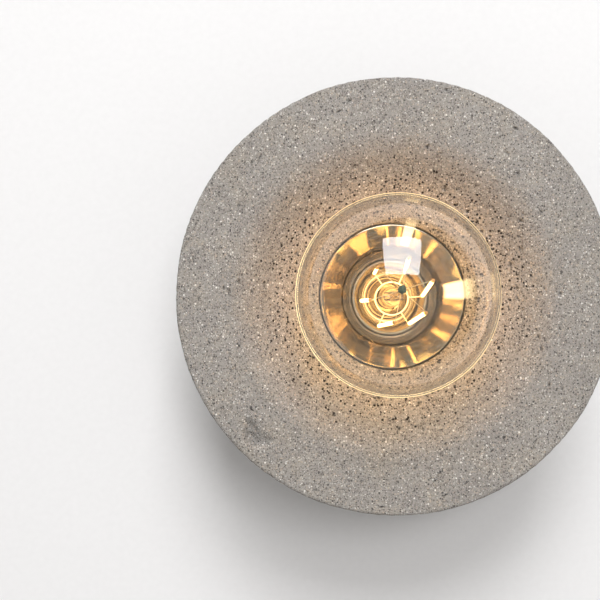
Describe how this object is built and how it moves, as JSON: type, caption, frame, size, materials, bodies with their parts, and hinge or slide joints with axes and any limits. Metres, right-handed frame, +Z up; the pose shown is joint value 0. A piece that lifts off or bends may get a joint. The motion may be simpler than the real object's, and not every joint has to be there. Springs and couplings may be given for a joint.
{
  "type": "surface-mounted stone ceiling light",
  "caption": "Round cast stone dish on a short steel housing, with a polished cup in its centre holding a large clear globe filament lamp that screws in.",
  "frame": {"origin": "on the ceiling, where the dish's axis meets the top face of the ceiling plate", "axes": "+Z up into the ceiling, along the dish's axis; the light hangs below the origin; +X and +Y are across the dish"},
  "size_m": [0.2104, 0.2104, 0.1615],
  "materials": {
    "stone": "cast aggregate, matt and finely pitted",
    "painted_steel": "dark grey powder coat",
    "zinc_steel": "zinc plated",
    "chrome": "polished",
    "brass": "satin",
    "porcelain": "glazed",
    "rubber": "black",
    "nylon": "natural",
    "glass": "clear, faintly warm",
    "black_glass": "black fired glass",
    "board": "tan circuit board",
    "phosphor": "glowing phosphor strip",
    "brown_wire": "insulation",
    "blue_wire": "insulation",
    "green_wire": "insulation"
  },
  "bodies": {
    "fixture": {"ceiling_plate": "zinc_steel", "cable_grommet": "rubber", "earth_lug": "zinc_steel", "earth_screw": "brass", "terminal_block": "nylon", "terminal_screw_1": "brass", "terminal_screw_2": "brass", "terminal_screw_3": "brass", "live_wire": "brown_wire", "neutral_wire": "blue_wire", "earth_wire": "green_wire", "housing": "painted_steel", "grub_screw_1": "zinc_steel", "grub_screw_2": "zinc_steel", "grub_screw_3": "zinc_steel", "holder_bracket": "zinc_steel", "holder_nipple": "brass", "lock_washer": "zinc_steel", "locknut": "brass", "lampholder_base": "porcelain", "holder_terminal_screw_1": "brass", "holder_terminal_screw_2": "brass", "lampholder_skirt": "chrome", "screw_shell": "brass", "shade_ring": "chrome", "reflector_cup": "chrome", "stone_dish": "stone", "dish_gasket": "rubber", "dish_insert_1": "brass", "dish_insert_2": "brass", "dish_insert_3": "brass", "dish_insert_4": "brass", "dish_screw_1": "zinc_steel", "dish_screw_2": "zinc_steel", "dish_screw_3": "zinc_steel", "dish_screw_4": "zinc_steel"},
    "contact": {"contact_tongue": "brass"},
    "lamp_travel": {"cap_contact": "brass", "cap_insulator": "black_glass"},
    "lamp": {"bulb_glass": "glass", "cap_shell": "chrome", "driver_board": "board", "lead_wire_1": "zinc_steel", "lead_wire_2": "zinc_steel", "glass_stem": "glass", "centre_rod": "glass", "rear_carrier": "zinc_steel", "front_carrier": "zinc_steel", "filament_1": "phosphor", "filament_2": "phosphor", "filament_3": "phosphor", "filament_4": "phosphor", "filament_5": "phosphor", "filament_6": "phosphor"}
  },
  "joints": [
    {"name": "contact_press", "type": "slide", "parent": "fixture", "child": "contact", "axis": [0, 0, 1], "range_m": [0, 0.001], "stiffness_N_per_m": 400, "springref_m": -0.001},
    {"name": "lamp_out", "type": "slide", "parent": "fixture", "child": "lamp_travel", "axis": [0, 0, -1], "range_m": [0, 0.02187]},
    {"name": "lamp_turn", "type": "hinge", "parent": "lamp_travel", "child": "lamp", "pos_m": [0, 0, -0.036], "axis": [0, 0, -1], "range_deg": [0, 2160]}
  ],
  "couplings": [
    {"joint": "lamp_out", "follows": "lamp_turn", "m_per_rad": 0.00057757}
  ]
}
